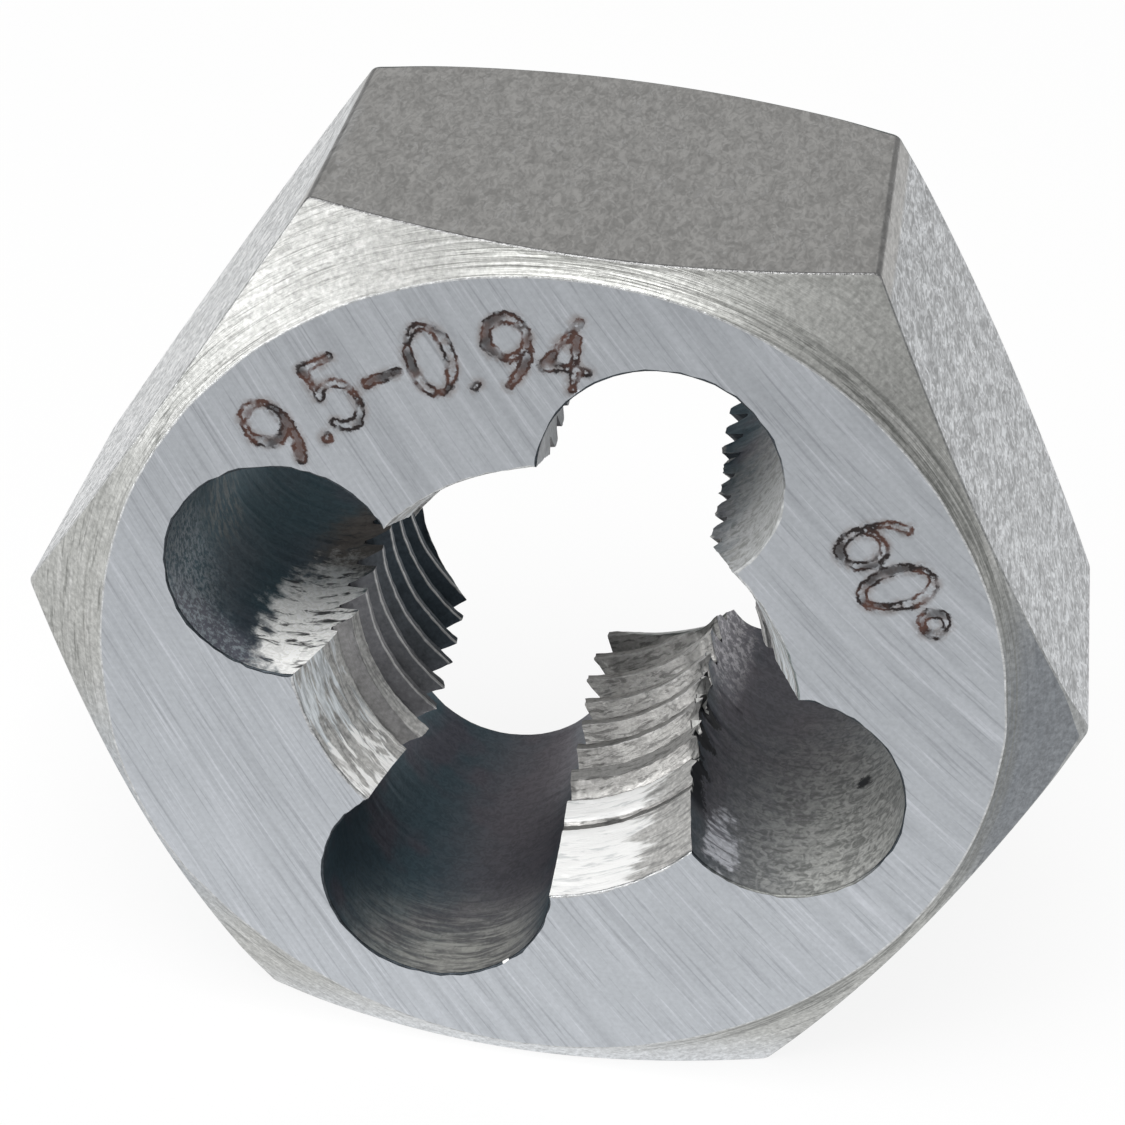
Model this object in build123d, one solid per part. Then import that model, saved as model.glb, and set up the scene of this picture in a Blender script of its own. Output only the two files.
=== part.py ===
from build123d import *
from math import atan, cos, degrees, pi, radians, tan
import os

# Hexagonal rethreading die: one solid of hardened steel, all sizes in millimetres.
# It stands on one flat. The bore runs along Y and the front face looks toward -Y.

# The hexagon
across_flats = 19.84
thickness = 9.525
corner_radius = 0.2

# The turned chamfers that leave a round face at each end
front_face_diameter = 19.0
back_face_diameter = 19.4
chamfer_angle = 34.0

# The thread, right-hand, with flats at root and crest
thread_major_diameter = 9.525
thread_pitch = 25.4 / 27
flank_angle = 30.0
root_flat = 0.118
crest_flat = 0.20
thread_start_depth = 0.70

# The tapered lead-ins of the bore at its two ends
front_mouth_diameter = 10.44
front_lead_length = 2.5
back_mouth_diameter = 9.4
back_lead_length = 1.0

# Each land is relieved: its bore, lead-ins and thread share an axis that is shifted by
# this much toward the land's heel, so only the cutting edge runs on the true radius.
land_relief = 0.4

# The flute holes, as distance from the bore's axis and angle seen from the front,
# clockwise from the right
flute_diameter = 5.0
flute_places = [(5.67, 19.4), (5.75, 109.9), (5.97, 198.5), (5.63, 290.2)]

# Derived sizes
apothem = across_flats / 2
corner_reach = apothem / cos(radians(30))
major_radius = thread_major_diameter / 2
thread_depth = (thread_pitch - root_flat - crest_flat) / (2 * tan(radians(flank_angle)))
minor_radius = major_radius - thread_depth
overcut = thread_pitch

# The die is shaped with its front face on Z = 0 and its bore along Z, X to the right
# and Y down as seen from the front, and is then stood on its flat.
standing = Plane(origin=(0, -thickness / 2, apothem), x_dir=(1, 0, 0), z_dir=(0, 1, 0))


def turned(*points):
    """A solid of revolution about the bore's axis from (radius, depth) points."""
    return revolve(Plane.XZ * make_face(Polyline(*points, close=True)), axis=Axis.Z)


def hexagonal_blank():
    """The bar stock: a hexagonal prism with slightly rounded corners."""
    outline = RegularPolygon(radius=apothem, side_count=6, major_radius=False)
    prism = extrude(outline, amount=thickness)
    corners = prism.edges().filter_by(Axis.Z)
    return fillet(corners, corner_radius)


def chamfer_limit():
    """The turned envelope: a disc whose two ends slope back from the round faces."""
    slope = tan(radians(chamfer_angle))
    reach = corner_reach + overcut
    front_radius = front_face_diameter / 2
    back_radius = back_face_diameter / 2
    front_drop = (reach - front_radius) * slope
    back_drop = (reach - back_radius) * slope
    return turned(
        (0, 0),
        (front_radius, 0),
        (reach, front_drop),
        (reach, thickness - back_drop),
        (back_radius, thickness),
        (0, thickness),
    )


def flute_holes():
    """The four drilled holes that break into the bore and leave four cutting lands."""
    depth = thickness + 2 * overcut
    holes = []
    for distance, angle in flute_places:
        hole = Cylinder(flute_diameter / 2, depth, align=(Align.CENTER, Align.CENTER, Align.MIN))
        holes.append(Rot(0, 0, angle) * Pos(distance, 0, -overcut) * hole)
    return holes


def land_spans():
    """Each land's middle angle and half its span, from the middle of one flute to the next."""
    angles = [angle for distance, angle in flute_places]
    following = angles[1:] + [angles[0] + 360]
    return [((first + last) / 2, (last - first) / 2) for first, last in zip(angles, following)]


def bore_profile():
    """The bore before threading, opened by a taper at each end."""
    front_mouth = front_mouth_diameter / 2
    back_mouth = back_mouth_diameter / 2
    front_widening = (front_mouth - minor_radius) / front_lead_length * overcut
    back_widening = (back_mouth - minor_radius) / back_lead_length * overcut
    return turned(
        (0, -overcut),
        (front_mouth + front_widening, -overcut),
        (minor_radius, front_lead_length),
        (minor_radius, thickness - back_lead_length),
        (back_mouth + back_widening, thickness + overcut),
        (0, thickness + overcut),
    )


def land_sector(half_span):
    """The wedge of the bore that one land owns, about +X."""
    reach = front_mouth_diameter + back_mouth_diameter
    outline = Polyline(
        (0, 0),
        (reach, -reach * tan(radians(half_span))),
        (reach, reach * tan(radians(half_span))),
        close=True,
    )
    return Pos(0, 0, -2 * overcut) * extrude(make_face(outline), amount=thickness + 4 * overcut)


def thread_groove(half_span):
    """One groove across a land, from flute to flute, centred on +X at depth 0.

    Over one land the helix is a ring that is tilted by the thread's lead angle.
    """
    inner_radius = minor_radius - crest_flat
    root_half = root_flat / 2
    mouth_half = root_half + (major_radius - inner_radius) * tan(radians(flank_angle))
    outline = Polyline(
        (inner_radius, -mouth_half),
        (major_radius, -root_half),
        (major_radius, root_half),
        (inner_radius, mouth_half),
        close=True,
    )
    ring = revolve(Plane.XZ * make_face(outline), axis=Axis.Z, revolution_arc=2 * half_span)
    middle_radius = (major_radius + minor_radius) / 2
    lead_angle = degrees(atan(thread_pitch / (2 * pi * middle_radius)))
    return Rot(lead_angle, 0, 0) * Rot(0, 0, -half_span) * ring


def land_bore(middle, half_span):
    """One land's share of the bore, shifted by the relief."""
    shifted = Pos(0, land_relief, 0) * bore_profile()
    return Rot(0, 0, middle) * (shifted & land_sector(half_span))


def land_grooves(middle, half_span):
    """The thread grooves across one land, a pitch apart from face to face."""
    groove = Pos(0, land_relief, 0) * thread_groove(half_span)
    first_depth = thread_start_depth + (middle / 360 - 2) * thread_pitch
    depths = [first_depth + turn * thread_pitch for turn in range(int(thickness / thread_pitch) + 4)]
    return [Rot(0, 0, middle) * Pos(0, 0, depth) * groove for depth in depths]


def core_hole():
    """The middle of the bore, which all four lands clear."""
    depth = thickness + 2 * overcut
    hole = Cylinder(
        minor_radius - land_relief,
        depth,
        align=(Align.CENTER, Align.CENTER, Align.MIN),
    )
    return Pos(0, 0, -overcut) * hole


def rethreading_die():
    """The whole die, standing on its flat."""
    body = hexagonal_blank() & chamfer_limit()
    body = body - core_hole() - flute_holes()
    for middle, half_span in land_spans():
        body = body - land_bore(middle, half_span)
    for middle, half_span in land_spans():
        body = body - land_grooves(middle, half_span)
    return standing * body


os.makedirs("parts", exist_ok=True)
export_step(rethreading_die(), "parts/rethreading_die.step")
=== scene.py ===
import math
from collections import namedtuple
from functools import reduce

import bpy
from mathutils import Matrix, Vector, noise
from mathutils.geometry import delaunay_2d_cdt


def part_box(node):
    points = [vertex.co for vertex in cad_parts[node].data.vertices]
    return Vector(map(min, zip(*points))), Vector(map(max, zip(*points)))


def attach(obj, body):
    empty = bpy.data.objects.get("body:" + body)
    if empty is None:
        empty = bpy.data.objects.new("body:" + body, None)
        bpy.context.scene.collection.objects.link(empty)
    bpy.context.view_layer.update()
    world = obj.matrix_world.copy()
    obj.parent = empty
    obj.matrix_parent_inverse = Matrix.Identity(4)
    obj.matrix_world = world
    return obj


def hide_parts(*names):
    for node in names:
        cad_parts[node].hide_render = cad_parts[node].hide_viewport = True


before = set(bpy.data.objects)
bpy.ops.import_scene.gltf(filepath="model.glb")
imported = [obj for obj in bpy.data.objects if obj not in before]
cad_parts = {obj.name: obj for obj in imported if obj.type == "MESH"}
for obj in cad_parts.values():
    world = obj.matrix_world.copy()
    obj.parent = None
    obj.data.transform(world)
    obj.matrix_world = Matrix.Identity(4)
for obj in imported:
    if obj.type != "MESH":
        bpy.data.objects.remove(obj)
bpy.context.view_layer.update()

# The blank: a slice of hexagonal bar of hardened tool steel. Both ends are turned to a
# shallow cone that leaves a round face, and the bar's own corners are barely rounded.
MM = 0.001
low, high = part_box("rethreading_die")
THICKNESS = (high.y - low.y) / MM
APOTHEM = (high.z - low.z) / MM / 2
CORNER_RADIUS = 0.2
FRONT_FACE_RADIUS = 9.5
BACK_FACE_RADIUS = 9.7
CHAMFER_LEAN = math.radians(34)
CHAMFER_SLOPE = math.tan(CHAMFER_LEAN)
# From the middle of a flat to its corner, seen from the bore's axis
HALF_FLAT = math.radians(30)
FACE_EDGE_ROUNDING = 0.07
FLAT_EDGE_ROUNDING = 0.07
# How far the round edge of a face wavers, and how long its waves are, in mm
FACE_EDGE_WAVER = 0.025
WAVER_LENGTH = 0.9
# How much further the corners at these angles are rounded, in mm
CORNER_WEAR = {0: 0.40, 120: 0.45}
BACK_CORNER_WEAR = 0.30
# Over how many degrees the wear beside a corner dies away
CORNER_WEAR_WIDTH = 4
# How many rows of points each strip of the outside has
FRONT_CONE_ROWS = 20
BACK_CONE_ROWS = 14
SIDE_ROWS = 12
# Where the front face reaches further out than the rest: degrees, width and height in mm
FACE_BULGES = [(2, 30, 0.14), (150, 18, 0.21)]
RING_DEPTH = 0.012
RING_SPACING = 0.16

# The die's own axes, in millimetres: X right and Y down as seen from the front, and Z
# into the body from the front face. The die then stands on its lowest flat.
points = []
faces = []
finishes = []
FINISHES = ["face", "cone", "edge", "flat", "flute", "land", "rim", "mark"]
FACE, CONE, EDGE, FLAT, FLUTE, LAND, RIM, MARK = range(len(FINISHES))
materials = {}


def stand(place):
    """A place in the die's own axes, in metres on the table."""
    x, y, z = place
    return Vector((x, z - THICKNESS / 2, APOTHEM - y)) * MM


def add_points(places):
    first = len(points)
    points.extend(Vector(place) for place in places)
    return list(range(first, len(points)))


def add_face(corners, finish):
    """Keeps a face unless it has shrunk to a line where rows or columns meet."""
    kept = [c for n, c in enumerate(corners) if c != corners[n - 1]]
    if len(set(kept)) > 2:
        faces.append(kept)
        finishes.append(finish)


def join_loops(loop, following, finish):
    count = len(loop)
    for n in range(count):
        m = (n + 1) % count
        add_face([loop[n], loop[m], following[m], following[n]], finish)


def spread(first, last, count):
    """Evenly spaced values from the first to the last."""
    return [first + (last - first) * n / (count - 1) for n in range(count)]


def rough(place, size, seed=0.0):
    return noise.noise(Vector(place) / size + Vector((seed, seed * 1.7, seed * 0.6)))


def hexagon_reach(degrees):
    """How far the bar's side lies from the axis, with its corners rounded."""
    turn = math.radians(abs((degrees + 30) % 60 - 30))
    centre = (APOTHEM - CORNER_RADIUS) / math.cos(HALF_FLAT)
    tangent = HALF_FLAT - math.atan((APOTHEM - CORNER_RADIUS) * math.tan(HALF_FLAT) / APOTHEM)
    if turn < tangent:
        aside = centre * math.sin(turn)
        return centre * math.cos(turn) + math.sqrt(CORNER_RADIUS**2 - aside**2)
    return APOTHEM / math.cos(HALF_FLAT - turn)


def rounded(before, corner, after, radius, steps=4):
    """Points of a small arc that takes the place of a corner between two straight lines."""
    a, b, c = Vector(before), Vector(corner), Vector(after)
    into, out = (a - b).normalized(), (c - b).normalized()
    half = into.angle(out) / 2
    reach = min(radius / math.tan(half), (a - b).length * 0.45, (c - b).length * 0.45)
    start, end = b + into * reach, b + out * reach
    return [(1 - t) ** 2 * start + 2 * t * (1 - t) * b + t**2 * end for t in spread(0, 1, steps)]


def turned_cone(start, end, normal, rows, seed):
    """Points down one cone, sunk a little by the rings that the turning tool left."""
    cone = [start.lerp(end, t) for t in spread(0, 1, rows)[1:-1]]
    for n, place in enumerate(cone):
        share = min(1, (n + 1) / 3, (len(cone) - n) / 3)
        uneven = 1 + rough((place.x, 0, 0), RING_SPACING, seed)
        cone[n] = place - normal * RING_DEPTH * share * uneven
    return cone


def blank_profile(degrees):
    """(radius, depth) points with the finish that leads to each, from face to face."""
    reach = hexagon_reach(degrees)
    turn = math.radians(degrees)
    across = (math.cos(turn) * 9, math.sin(turn) * 9, 0)
    front_radius = FRONT_FACE_RADIUS + FACE_EDGE_WAVER * rough(across, WAVER_LENGTH)
    for middle, width, height in FACE_BULGES:
        front_radius += height * math.exp(-((((degrees - middle + 180) % 360 - 180) / width) ** 2))
    back_radius = BACK_FACE_RADIUS + FACE_EDGE_WAVER * rough(across, WAVER_LENGTH, 9)
    front_edge, back_edge = (front_radius, 0), (back_radius, THICKNESS)
    front_shoulder = (reach, (reach - FRONT_FACE_RADIUS) * CHAMFER_SLOPE)
    back_shoulder = (reach, THICKNESS - (reach - BACK_FACE_RADIUS) * CHAMFER_SLOPE)
    from_corner = (degrees + 30) % 60 - 30
    wear = CORNER_WEAR.get(round(degrees - from_corner) % 360, 0)
    beside_corner = math.exp(-((from_corner / CORNER_WEAR_WIDTH) ** 2))
    worn = FLAT_EDGE_ROUNDING + wear * beside_corner
    edge = rounded((0, 0), front_edge, front_shoulder, FACE_EDGE_ROUNDING)
    shoulder = rounded(front_edge, front_shoulder, back_shoulder, worn, 5)
    front_normal = Vector((math.sin(CHAMFER_LEAN), -math.cos(CHAMFER_LEAN)))
    cone = turned_cone(edge[-1], shoulder[0], front_normal, FRONT_CONE_ROWS, 5)
    back_worn = FLAT_EDGE_ROUNDING + BACK_CORNER_WEAR * beside_corner
    back = rounded(front_shoulder, back_shoulder, back_edge, back_worn, 5)
    rim = rounded(back_shoulder, back_edge, (0, THICKNESS), FACE_EDGE_ROUNDING)
    back_normal = Vector((math.sin(CHAMFER_LEAN), math.cos(CHAMFER_LEAN)))
    back_cone = turned_cone(back[-1], rim[0], back_normal, BACK_CONE_ROWS, 8)
    side = [shoulder[-1].lerp(back[0], t) for t in spread(0, 1, SIDE_ROWS)[1:-1]]
    strips = [(edge, EDGE, EDGE), (cone, CONE, CONE), (shoulder, CONE, EDGE), (side, FLAT, FLAT)]
    strips += [(back, FLAT, EDGE), (back_cone, CONE, CONE), (rim, CONE, EDGE)]
    profile = []
    for strip, first, others in strips:
        profile += [(place, others if n else first) for n, place in enumerate(strip)]
    return profile


# Columns stand closer together near the corners
half_sector = [0, 0.17, 0.34, 0.51, 0.8, 1.3] + spread(2, 30, 22)
sector = half_sector + [60 - d for d in half_sector[-2:0:-1]]
rim_angles = [60 * corner + d for corner in range(6) for d in sector]
profiles = [blank_profile(d) for d in rim_angles]
outer_loops = []
for row, (_, finish) in enumerate(profiles[0]):
    loop = []
    for degrees, profile in zip(rim_angles, profiles):
        place, turn = profile[row][0], math.radians(degrees)
        loop += add_points([(place.x * math.cos(turn), place.x * math.sin(turn), place.y)])
    if outer_loops:
        join_loops(outer_loops[-1], loop, finish)
    outer_loops.append(loop)


# Nodes of the finishes: colours, masks and heights come from groups, shaders stay outside
def add_node(tree, kind, inputs=None, **settings):
    """A node with its settings made, and its inputs set or linked, by name or number."""
    node = tree.nodes.new("ShaderNode" + kind)
    for name, value in settings.items():
        setattr(node, name, value)
    for key, value in (inputs or {}).items():
        if isinstance(value, bpy.types.NodeSocket):
            tree.links.new(value, node.inputs[key])
        else:
            node.inputs[key].default_value = value
    return node


def calculate(tree, operation, *values, clamped=False):
    inputs = dict(enumerate(values))
    return add_node(tree, "Math", inputs, operation=operation, use_clamp=clamped).outputs[0]


def product(tree, *values):
    return reduce(lambda first, second: calculate(tree, "MULTIPLY", first, second), values)


def largest(tree, *values):
    return reduce(lambda first, second: calculate(tree, "MAXIMUM", first, second), values)


def fade(tree, value, start, end, low=0.0, high=1.0):
    """A smooth change from low to high while the value goes from start to end."""
    inputs = {"Value": value, "From Min": start, "From Max": end, "To Min": low, "To Max": high}
    return add_node(tree, "MapRange", inputs, interpolation_type="SMOOTHSTEP").outputs[0]


def split(tree, vector):
    return add_node(tree, "SeparateXYZ", {0: vector}).outputs


def join(tree, x, y, z=0.0):
    return add_node(tree, "CombineXYZ", {0: x, 1: y, 2: z}).outputs[0]


def stretch(tree, vector, by, offset=(0, 0, 0)):
    scaled = add_node(tree, "VectorMath", {0: vector, 1: by}, operation="MULTIPLY").outputs[0]
    return add_node(tree, "VectorMath", {0: scaled, 1: offset}, operation="ADD").outputs[0]


def grain(tree, vector, scale, detail=2.0, roughness=0.5, distortion=0.0):
    inputs = {"Vector": vector, "Scale": scale, "Detail": detail}
    inputs |= {"Roughness": roughness, "Distortion": distortion}
    return add_node(tree, "TexNoise", inputs).outputs[0]


def skewed(tree, x, y, z):
    """A place for a stretched noise, turned so that the noise's own grid doesn't show."""
    inputs = {"Vector": join(tree, x, y, z), "Rotation": (0.6, 0.8, 0.5)}
    return add_node(tree, "VectorRotate", inputs, rotation_type="EULER_XYZ").outputs[0]


def trait(tree, name):
    """What the mesh says about each of its points under that name."""
    return add_node(tree, "Attribute", attribute_name=name).outputs["Fac"]


def blend(tree, factor, first, second, mode="MIX"):
    inputs = {0: factor, 6: first, 7: second}
    return add_node(tree, "Mix", inputs, data_type="RGBA", blend_type=mode).outputs[2]


def shade(tree, colour, *values):
    """A colour made darker or lighter by values around 1."""
    return blend(tree, 1.0, colour, product(tree, *values), "MULTIPLY")


def new_group(name, inputs, outputs):
    """A shader node group with named sockets; gives its tree, its inputs and its outputs."""
    group = bpy.data.node_groups.new(name, "ShaderNodeTree")
    for socket, value in inputs.items():
        kind = "NodeSocketVector" if isinstance(value, tuple) else "NodeSocketFloat"
        made = group.interface.new_socket(socket, in_out="INPUT", socket_type=kind)
        made.default_value = value
    for socket, kind in outputs.items():
        group.interface.new_socket(socket, in_out="OUTPUT", socket_type="NodeSocket" + kind)
    starts, ends = group.nodes.new("NodeGroupInput"), group.nodes.new("NodeGroupOutput")
    return group, starts.outputs, ends.inputs


def use_group(tree, group, **values):
    return add_node(tree, "Group", values, node_tree=group).outputs


def new_steel(finish, roughness):
    """A material for one finish, with where each point of the die is in millimetres."""
    material = bpy.data.materials.new(finish + "_steel")
    material.use_nodes = True
    tree = material.node_tree
    shader = tree.nodes["Principled BSDF"]
    shader.inputs["Metallic"].default_value = 1.0
    shader.inputs["Roughness"].default_value = roughness
    materials[finish] = material
    where = use_group(tree, die_places)
    return tree, shader, where["Place"], where["Radius"], where["Depth"]


def finish_steel(tree, shader, colour, height, relief, metallic=None):
    """Joins the colour and the height, in millimetres times relief, to the shader."""
    tree.links.new(colour, shader.inputs["Base Color"])
    bump = add_node(tree, "Bump", {"Height": height, "Strength": 1.0, "Distance": relief * MM})
    tree.links.new(bump.outputs[0], shader.inputs["Normal"])
    if metallic is not None:
        tree.links.new(metallic, shader.inputs["Metallic"])


# Where a point lies on the die, in millimetres, how far from the bore's axis and how deep
die_places, _, ends = new_group(
    "die_places", {}, {"Place": "Vector", "Radius": "Float", "Depth": "Float"}
)
tree = die_places
parts = split(tree, add_node(tree, "TexCoord").outputs["Object"])
across = calculate(tree, "DIVIDE", parts[0], MM)
down = calculate(tree, "MULTIPLY_ADD", parts[2], -1 / MM, APOTHEM)
depth = calculate(tree, "MULTIPLY_ADD", parts[1], 1 / MM, THICKNESS / 2)
from_axis = {0: join(tree, across, down)}
radius = add_node(tree, "VectorMath", from_axis, operation="LENGTH").outputs["Value"]
place = join(tree, across, down, depth)
for socket, value in (("Place", place), ("Radius", radius), ("Depth", depth)):
    tree.links.new(value, ends[socket])

# Light and dark clouds that vary the tone of every finish, around 1
clouds, starts, ends = new_group(
    "clouds", {"Place": (0, 0, 0), "Size": 1.0, "Contrast": 0.1}, {"Tone": "Float"}
)
tree = clouds
value = grain(tree, starts["Place"], calculate(tree, "DIVIDE", 1.0, starts["Size"]), 3.0, 0.6)
centred = product(tree, calculate(tree, "SUBTRACT", value, 0.5), starts["Contrast"])
tree.links.new(calculate(tree, "MULTIPLY_ADD", centred, 2.0, 1.0), ends["Tone"])

# Rings that a turning tool leaves round the bore's axis, broken here and there
turned_rings, starts, ends = new_group(
    "turned_rings",
    {"Place": (0, 0, 0), "Radius": 0.0, "Spacing": 0.1},
    {"Rings": "Float", "Scratches": "Float"},
)
tree = turned_rings
steps = calculate(tree, "DIVIDE", starts["Radius"], starts["Spacing"])
# How often each kind is broken along a ring, how close the rings are, and their noise
RING_KINDS = [("Rings", 0.35, 1.0, 2.0, 0.6), ("Scratches", 0.7, 1.9, 3.0, 0.7)]
for name, along, across, detail, roughness in RING_KINDS:
    parts = split(tree, stretch(tree, starts["Place"], (along, along, 0.0)))
    ring_place = skewed(tree, product(tree, steps, across), parts[0], parts[1])
    tree.links.new(grain(tree, ring_place, 1.0, detail, roughness), ends[name])

# Crooked light and dark worms, as a blasted, rolled or etched skin shows close up
worms, starts, ends = new_group(
    "worms", {"Place": (0, 0, 0), "Size": 0.2, "Contrast": 0.2}, {"Tone": "Float", "Lines": "Float"}
)
tree = worms
scale = calculate(tree, "DIVIDE", 1.0, starts["Size"])
winding = grain(tree, starts["Place"], scale, 1.5, 0.5, 1.6)
wave = fade(tree, winding, 0.34, 0.66, -1.0, 1.0)
tree.links.new(calculate(tree, "MULTIPLY_ADD", wave, starts["Contrast"], 1.0), ends["Tone"])
aside = calculate(tree, "ABSOLUTE", calculate(tree, "SUBTRACT", winding, 0.5))
broken = fade(tree, grain(tree, starts["Place"], product(tree, scale, 0.8), 1.0), 0.50, 0.60)
tree.links.new(product(tree, fade(tree, aside, 0.0, 0.04, 1.0, 0.0), broken), ends["Lines"])

# A stain, a torn spot or a polished spot at a place on the surface, fading at its border
spot, starts, ends = new_group(
    "spot",
    {"Place": (0, 0, 0), "Centre": (0, 0, 0), "Size": (1, 1, 1), "Ragged": 0.3, "Soft": 0.2},
    {"Mask": "Float"},
)
tree = spot
inputs = {0: starts["Place"], 1: starts["Centre"]}
apart = add_node(tree, "VectorMath", inputs, operation="SUBTRACT").outputs[0]
share = add_node(tree, "VectorMath", {0: apart, 1: starts["Size"]}, operation="DIVIDE").outputs[0]
reach = add_node(tree, "VectorMath", {0: share}, operation="LENGTH").outputs["Value"]
uneven = calculate(tree, "SUBTRACT", grain(tree, starts["Place"], 2.6, 4.0, 0.65), 0.5)
reach = calculate(tree, "ADD", reach, product(tree, uneven, product(tree, starts["Ragged"], 4.0)))
outer = calculate(tree, "ADD", 1.0, starts["Soft"])
inner = calculate(tree, "SUBTRACT", 1.0, starts["Soft"])
tree.links.new(fade(tree, reach, outer, inner), ends["Mask"])


def cloudy(tree, place, size, contrast):
    return use_group(tree, clouds, Place=place, Size=size, Contrast=contrast)["Tone"]


def wormy(tree, place, size, contrast):
    return use_group(tree, worms, Place=place, Size=size, Contrast=contrast)


def add_spot(tree, place, colour, spot_colour, spot_at, ragged=0.15, soft=0.5, share=1.0):
    """Lays a colour over another at one spot; gives the new colour and the spot's mask."""
    centre, size = spot_at
    at = {"Place": place, "Centre": centre, "Size": size}
    mask = product(tree, use_group(tree, spot, **at, Ragged=ragged, Soft=soft)["Mask"], share)
    return blend(tree, mask, colour, spot_colour), mask


def add_spots(tree, place, colour, spots):
    """Lays named spots one over another; gives the colour and all the masks by name."""
    masks = {}
    for name, *rest in spots:
        colour, masks[name] = add_spot(tree, place, colour, *rest)
    return colour, masks


# The cones: bright from the lathe, with fine broken dark rings and a speckled, worn skin.
# A spot says where its middle is and how far it reaches, in the die's own millimetres.
CONE_LIGHT = (0.50, 0.505, 0.49, 1)
CONE_DARK = (0.22, 0.225, 0.215, 1)
CONE_BRIGHT = (0.78, 0.78, 0.77, 1)
CONE_SHADE_WARM = (0.35, 0.352, 0.335, 1)
CONE_SHADE_COOL = (0.21, 0.225, 0.245, 1)
CONE_SOFT = (0.44, 0.465, 0.49, 1)
CONE_PAINTED_LIGHT = (0.72, 0.74, 0.76, 1)
CONE_GREY = (0.40, 0.40, 0.39, 1)
# Painted light and shade on the cone: painted shade darkens its top right and left, and its right,
# where it stands in for the reflection of the die's shaded side, and painted light makes its bottom
# paler. The lower left and top left spots change its tone
CONE_SPOTS = [
    ("top right", CONE_SHADE_WARM, ((1.0, -10.2, 1.0), (4.6, 2.2, 4.0)), 0.08, 0.5, 0.50),
    ("right", CONE_SHADE_COOL, ((10.7, 0.2, 1.0), (1.9, 5.2, 4.0)), 0.08, 0.5, 0.92),
    ("lower left", CONE_SOFT, ((-8.6, 5.4, 1.0), (2.2, 3.2, 4.0)), 0.08, 0.5, 0.85),
    ("left", CONE_SHADE_WARM, ((-10.6, -1.0, 1.0), (1.9, 3.0, 4.0)), 0.08, 0.5, 0.35),
    ("bottom", CONE_PAINTED_LIGHT, ((1.5, 10.6, 1.0), (8.0, 1.7, 4.0)), 0.08, 0.5, 1.0),
    ("top left", CONE_GREY, ((-5.5, -8.6, 1.0), (3.5, 2.5, 4.0)), 0.08, 0.5, 0.55),
]
# The cone is smoother and finer in grain at its upper right
CALM_SPOT = {"Centre": (6.6, -8.8, 1.0), "Size": (4.4, 3.2, 4.0)}
CALM_FROM_RADIUS = (9.8, 10.15)
GROOVED_TO_RADIUS = (10.05, 9.80)
GROOVED_FROM_ACROSS = (1.0, 6.0)
tree, shader, place, radius, _ = new_steel("cone", 0.45)
rings = use_group(tree, turned_rings, Place=place, Radius=radius, Spacing=0.06)
broad_rings = use_group(tree, turned_rings, Place=place, Radius=radius, Spacing=0.20)
tone = cloudy(tree, place, 1.1, 0.16)
fleck = cloudy(tree, place, 0.11, 0.50)
worm = wormy(tree, place, 0.16, 0.08)
groove = fade(tree, rings["Rings"], 0.47, 0.33, 0.0, 0.46)
scratch = fade(tree, broad_rings["Scratches"], 0.44, 0.36, 0.0, 0.85)
shine = fade(tree, broad_rings["Rings"], 0.50, 0.66, 0.0, 0.40)
calm = use_group(tree, spot, Place=place, **CALM_SPOT, Ragged=0.1, Soft=0.5)["Mask"]
calm = product(tree, calm, fade(tree, radius, *CALM_FROM_RADIUS))
shown = calculate(tree, "MULTIPLY_ADD", calm, -0.75, 1.0)
dark = product(tree, largest(tree, groove, scratch), shown)
bright = blend(tree, product(tree, shine, shown), CONE_LIGHT, CONE_BRIGHT)
colour = blend(tree, dark, bright, CONE_DARK)
colour, _ = add_spots(tree, place, colour, CONE_SPOTS)
# The tool ran twice round the inner edge of the cone and left it grooved
inner = fade(tree, split(tree, place)[0], *GROOVED_FROM_ACROSS)
inner = product(tree, fade(tree, radius, *GROOVED_TO_RADIUS), inner)
inner_ring = product(tree, inner, fade(tree, rings["Rings"], 0.56, 0.44, 0.15, 0.75))
colour = blend(tree, inner_ring, colour, CONE_DARK)
colour = shade(tree, shade(tree, colour, tone, worm["Tone"]), fleck)
height = calculate(tree, "MULTIPLY_ADD", worm["Tone"], 0.15, product(tree, rings["Rings"], shown))
finish_steel(tree, shader, colour, height, 0.022)

# The flats: the bar's own skin, blasted grey, with crooked worms and a few light scratches.
# It is a little drawn out along the bar, and the top flat is the smoothest of the six.
FLAT_GREY = (0.60, 0.615, 0.63, 1)
FLAT_LINE = (0.90, 0.91, 0.93, 1)
TOP_FLAT_PAINTED_SHADE = (0.565, 0.560, 0.548, 1)
LEFT_FLAT_PAINTED_LIGHT = (0.71, 0.725, 0.735, 1)
CORNER_PAINTED_SHADE = (0.28, 0.28, 0.28, 1)
# The top flat is painted darker, as painted shade, and the left flat lighter, as painted light
FLAT_SPOTS = [
    ("top", TOP_FLAT_PAINTED_SHADE, ((0, -9.92, 4.8), (12, 0.6, 12)), 0.0, 0.1),
    ("left", LEFT_FLAT_PAINTED_LIGHT, ((-8.6, -4.96, 4.8), (4.5, 6.5, 7.5)), 0.0, 0.05),
    # A painted dark line runs along each top corner, standing in for a dark reflection on the
    # rounded corner
    ("right corner", CORNER_PAINTED_SHADE, ((5.71, -9.90, 4.8), (0.065, 0.10, 12)), 0.0, 0.4, 0.8),
    ("left corner", CORNER_PAINTED_SHADE, ((-5.72, -9.90, 4.8), (0.06, 0.10, 12)), 0.0, 0.4, 0.8),
]
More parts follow.
